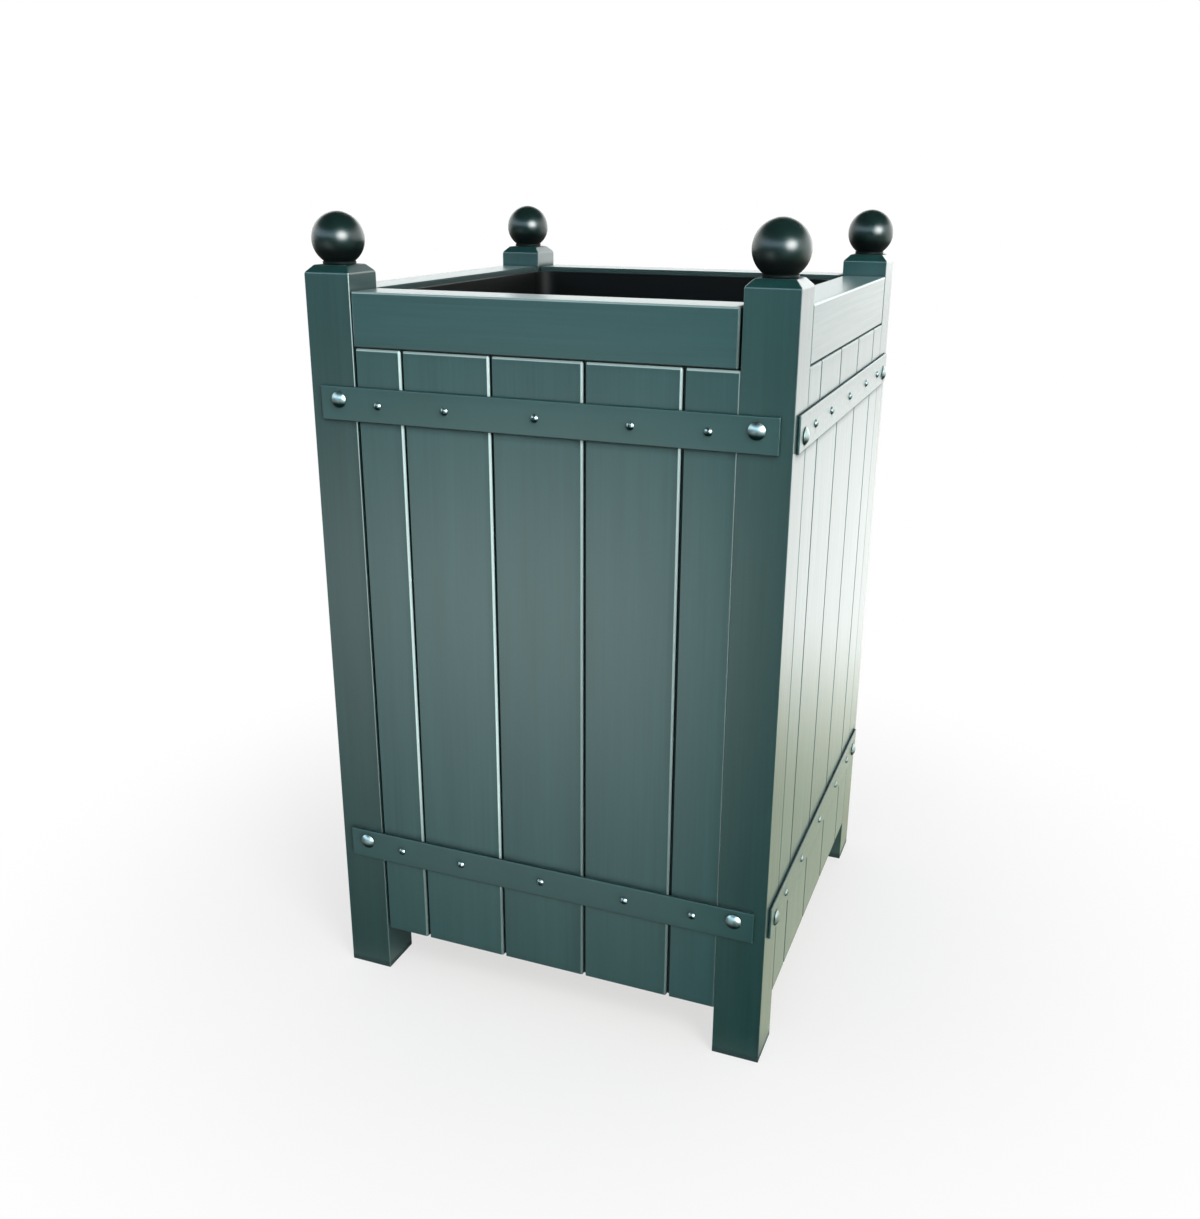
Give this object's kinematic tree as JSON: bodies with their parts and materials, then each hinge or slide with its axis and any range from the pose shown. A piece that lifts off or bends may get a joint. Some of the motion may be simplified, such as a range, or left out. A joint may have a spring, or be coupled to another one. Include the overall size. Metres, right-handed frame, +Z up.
{
  "type": "planter box",
  "caption": "Square wooden planter box with corner posts that form its feet, ball finials, tongued boards, flat steel straps and a plastic liner that lifts out.",
  "frame": {"origin": "on the ground, at the middle of the plan", "axes": "+Z up, +X to the right and -Y to the front for someone who faces the front side"},
  "size_m": [0.514, 0.514, 0.8567],
  "materials": {
    "painted_wood": "satin paint, dark grey-green",
    "painted_steel": "satin paint, dark grey-green",
    "finial_paint": "gloss paint, near-black green",
    "zinc": "zinc plated",
    "bare_wood": "planed softwood",
    "liner_plastic": "black polypropylene"
  },
  "bodies": {
    "planter": {"post_front_left": "painted_wood", "post_front_right": "painted_wood", "post_rear_right": "painted_wood", "post_rear_left": "painted_wood", "finial_front_left": "finial_paint", "finial_front_right": "finial_paint", "finial_rear_right": "finial_paint", "finial_rear_left": "finial_paint", "finial_studs": "zinc", "top_rail_front": "painted_wood", "top_rail_right": "painted_wood", "top_rail_rear": "painted_wood", "top_rail_left": "painted_wood", "board_front_1": "painted_wood", "board_front_2": "painted_wood", "board_front_3": "painted_wood", "board_front_4": "painted_wood", "board_front_5": "painted_wood", "board_right_1": "painted_wood", "board_right_2": "painted_wood", "board_right_3": "painted_wood", "board_right_4": "painted_wood", "board_right_5": "painted_wood", "board_rear_1": "painted_wood", "board_rear_2": "painted_wood", "board_rear_3": "painted_wood", "board_rear_4": "painted_wood", "board_rear_5": "painted_wood", "board_left_1": "painted_wood", "board_left_2": "painted_wood", "board_left_3": "painted_wood", "board_left_4": "painted_wood", "board_left_5": "painted_wood", "strap_front_lower": "painted_steel", "strap_front_upper": "painted_steel", "strap_right_lower": "painted_steel", "strap_right_upper": "painted_steel", "strap_rear_lower": "painted_steel", "strap_rear_upper": "painted_steel", "strap_left_lower": "painted_steel", "strap_left_upper": "painted_steel", "strap_bolts": "painted_steel", "strap_washers": "zinc", "strap_nuts": "zinc", "strap_screws": "painted_steel", "floor_rail_front": "bare_wood", "floor_rail_right": "bare_wood", "floor_rail_rear": "bare_wood", "floor_rail_left": "bare_wood", "floor_board_1": "bare_wood", "floor_board_2": "bare_wood", "floor_board_3": "bare_wood", "floor_board_4": "bare_wood", "floor_board_5": "bare_wood", "floor_rail_screws": "zinc", "floor_board_screws": "zinc"},
    "liner": {"liner": "liner_plastic"}
  },
  "joints": [
    {"name": "liner_lift", "type": "slide", "parent": "planter", "child": "liner", "axis": [0, 0, 1], "range_m": [0, 0.75]}
  ]
}
